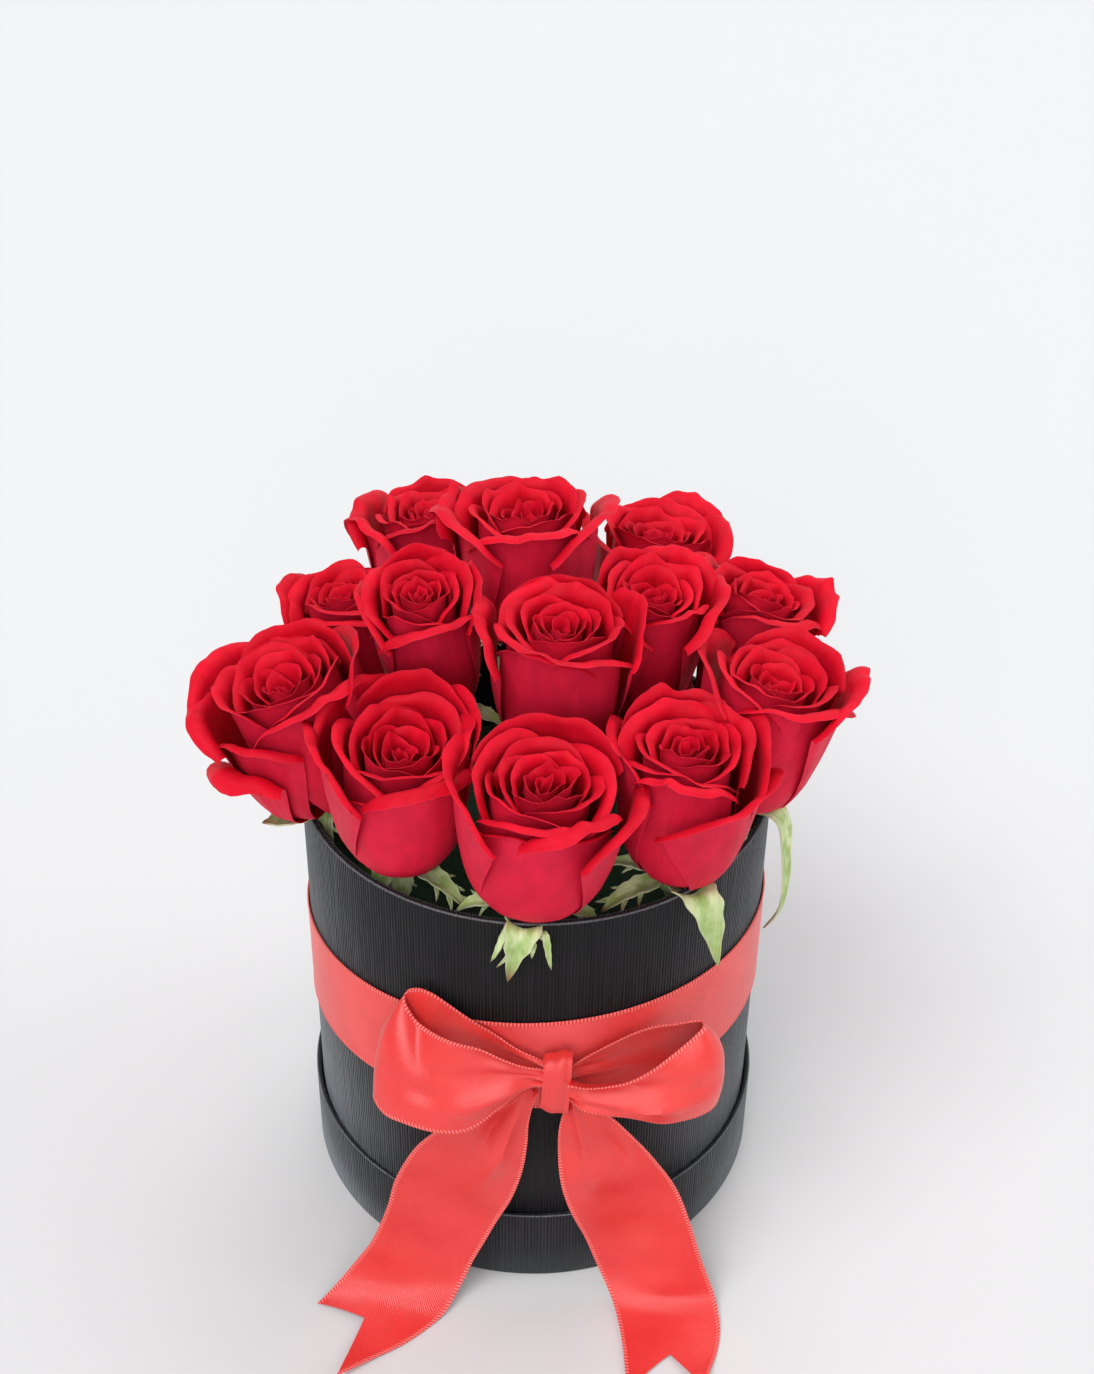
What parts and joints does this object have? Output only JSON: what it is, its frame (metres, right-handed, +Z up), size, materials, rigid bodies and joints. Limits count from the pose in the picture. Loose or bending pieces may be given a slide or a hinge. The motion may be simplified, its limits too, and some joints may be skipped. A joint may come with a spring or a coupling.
{
  "type": "flower box",
  "caption": "Round paper-covered hat box standing in its upturned lid, lined and filled with wet foam that holds cut roses, tied with a satin ribbon bow.",
  "frame": {"origin": "centre of the underside of the upturned lid, on the table", "axes": "+Z up out of the box, -Y is the side with the bow, +X to the right of the bow"},
  "size_m": [0.2028, 0.2211, 0.2449],
  "materials": {
    "paper_cover": "matte",
    "inside_board": "matte",
    "liner_film": "gloss",
    "wet_foam": "matte",
    "satin_ribbon": "satin",
    "petals": "matte",
    "sepals": "matte",
    "stems": "matte"
  },
  "bodies": {
    "lid_base": {"lid_rim": "paper_cover", "lid_panel": "inside_board"},
    "box": {"box_wall": "paper_cover", "box_floor": "inside_board", "ribbon_band": "satin_ribbon", "bow_knot": "satin_ribbon", "bow_loop_left": "satin_ribbon", "bow_loop_right": "satin_ribbon"},
    "tail_left": {"bow_tail_left": "satin_ribbon"},
    "tail_right": {"bow_tail_right": "satin_ribbon"},
    "insert": {"waterproof_liner": "liner_film", "floral_foam": "wet_foam"},
    "rose_front": {"bloom_front": "petals", "calyx_front": "sepals", "stem_front": "stems"},
    "rose_front_left": {"bloom_front_left": "petals", "calyx_front_left": "sepals", "stem_front_left": "stems"},
    "rose_front_right": {"bloom_front_right": "petals", "calyx_front_right": "sepals", "stem_front_right": "stems"},
    "rose_left": {"bloom_left": "petals", "calyx_left": "sepals", "stem_left": "stems"},
    "rose_right": {"bloom_right": "petals", "calyx_right": "sepals", "stem_right": "stems"},
    "rose_left_rear": {"bloom_left_rear": "petals", "calyx_left_rear": "sepals", "stem_left_rear": "stems"},
    "rose_right_rear": {"bloom_right_rear": "petals", "calyx_right_rear": "sepals", "stem_right_rear": "stems"},
    "rose_rear_left": {"bloom_rear_left": "petals", "calyx_rear_left": "sepals", "stem_rear_left": "stems"},
    "rose_rear_right": {"bloom_rear_right": "petals", "calyx_rear_right": "sepals", "stem_rear_right": "stems"},
    "rose_top_rear": {"bloom_top_rear": "petals", "calyx_top_rear": "sepals", "stem_top_rear": "stems"},
    "rose_inner_left": {"bloom_inner_left": "petals", "calyx_inner_left": "sepals", "stem_inner_left": "stems"},
    "rose_centre": {"bloom_centre": "petals", "calyx_centre": "sepals", "stem_centre": "stems"},
    "rose_inner_right": {"bloom_inner_right": "petals", "calyx_inner_right": "sepals", "stem_inner_right": "stems"}
  },
  "joints": [
    {"name": "box_lift", "type": "slide", "parent": "lid_base", "child": "box", "axis": [0, 0, 1], "range_m": [0, 0.045]},
    {"name": "insert_lift", "type": "slide", "parent": "box", "child": "insert", "axis": [0, 0, 1], "range_m": [0, 0.165]},
    {"name": "tail_left_swing", "type": "hinge", "parent": "box", "child": "tail_left", "pos_m": [0.0079, -0.0868, 0.097], "axis": [-1, 0, 0], "range_deg": [0, 25]},
    {"name": "tail_right_swing", "type": "hinge", "parent": "box", "child": "tail_right", "pos_m": [0.0079, -0.0868, 0.097], "axis": [-1, 0, 0], "range_deg": [0, 25]},
    {"name": "pull_front", "type": "slide", "parent": "insert", "child": "rose_front", "axis": [0.0834, -0.1444, 0.986], "range_m": [0, 0.11]},
    {"name": "pull_front_left", "type": "slide", "parent": "insert", "child": "rose_front_left", "axis": [0.0378, -0.1518, 0.9877], "range_m": [0, 0.11]},
    {"name": "pull_front_right", "type": "slide", "parent": "insert", "child": "rose_front_right", "axis": [0.0189, -0.0581, 0.9981], "range_m": [0, 0.11]},
    {"name": "pull_left", "type": "slide", "parent": "insert", "child": "rose_left", "axis": [-0.287, -0.0558, 0.9563], "range_m": [0, 0.11]},
    {"name": "pull_right", "type": "slide", "parent": "insert", "child": "rose_right", "axis": [0.1744, -0.0183, 0.9845], "range_m": [0, 0.11]},
    {"name": "pull_left_rear", "type": "slide", "parent": "insert", "child": "rose_left_rear", "axis": [-0.1361, -0.0191, 0.9905], "range_m": [0, 0.11]},
    {"name": "pull_right_rear", "type": "slide", "parent": "insert", "child": "rose_right_rear", "axis": [0.2241, 0.0196, 0.9744], "range_m": [0, 0.11]},
    {"name": "pull_rear_left", "type": "slide", "parent": "insert", "child": "rose_rear_left", "axis": [-0.0591, 0.1541, 0.9863], "range_m": [0, 0.11]},
    {"name": "pull_rear_right", "type": "slide", "parent": "insert", "child": "rose_rear_right", "axis": [0.0972, 0.1159, 0.9885], "range_m": [0, 0.11]},
    {"name": "pull_top_rear", "type": "slide", "parent": "insert", "child": "rose_top_rear", "axis": [-0.0198, 0.0389, 0.999], "range_m": [0, 0.11]},
    {"name": "pull_inner_left", "type": "slide", "parent": "insert", "child": "rose_inner_left", "axis": [-0.0952, -0.1868, 0.9778], "range_m": [0, 0.11]},
    {"name": "pull_centre", "type": "slide", "parent": "insert", "child": "rose_centre", "axis": [0.0355, -0.1093, 0.9934], "range_m": [0, 0.11]},
    {"name": "pull_inner_right", "type": "slide", "parent": "insert", "child": "rose_inner_right", "axis": [0.0776, -0.0776, 0.994], "range_m": [0, 0.11]}
  ]
}
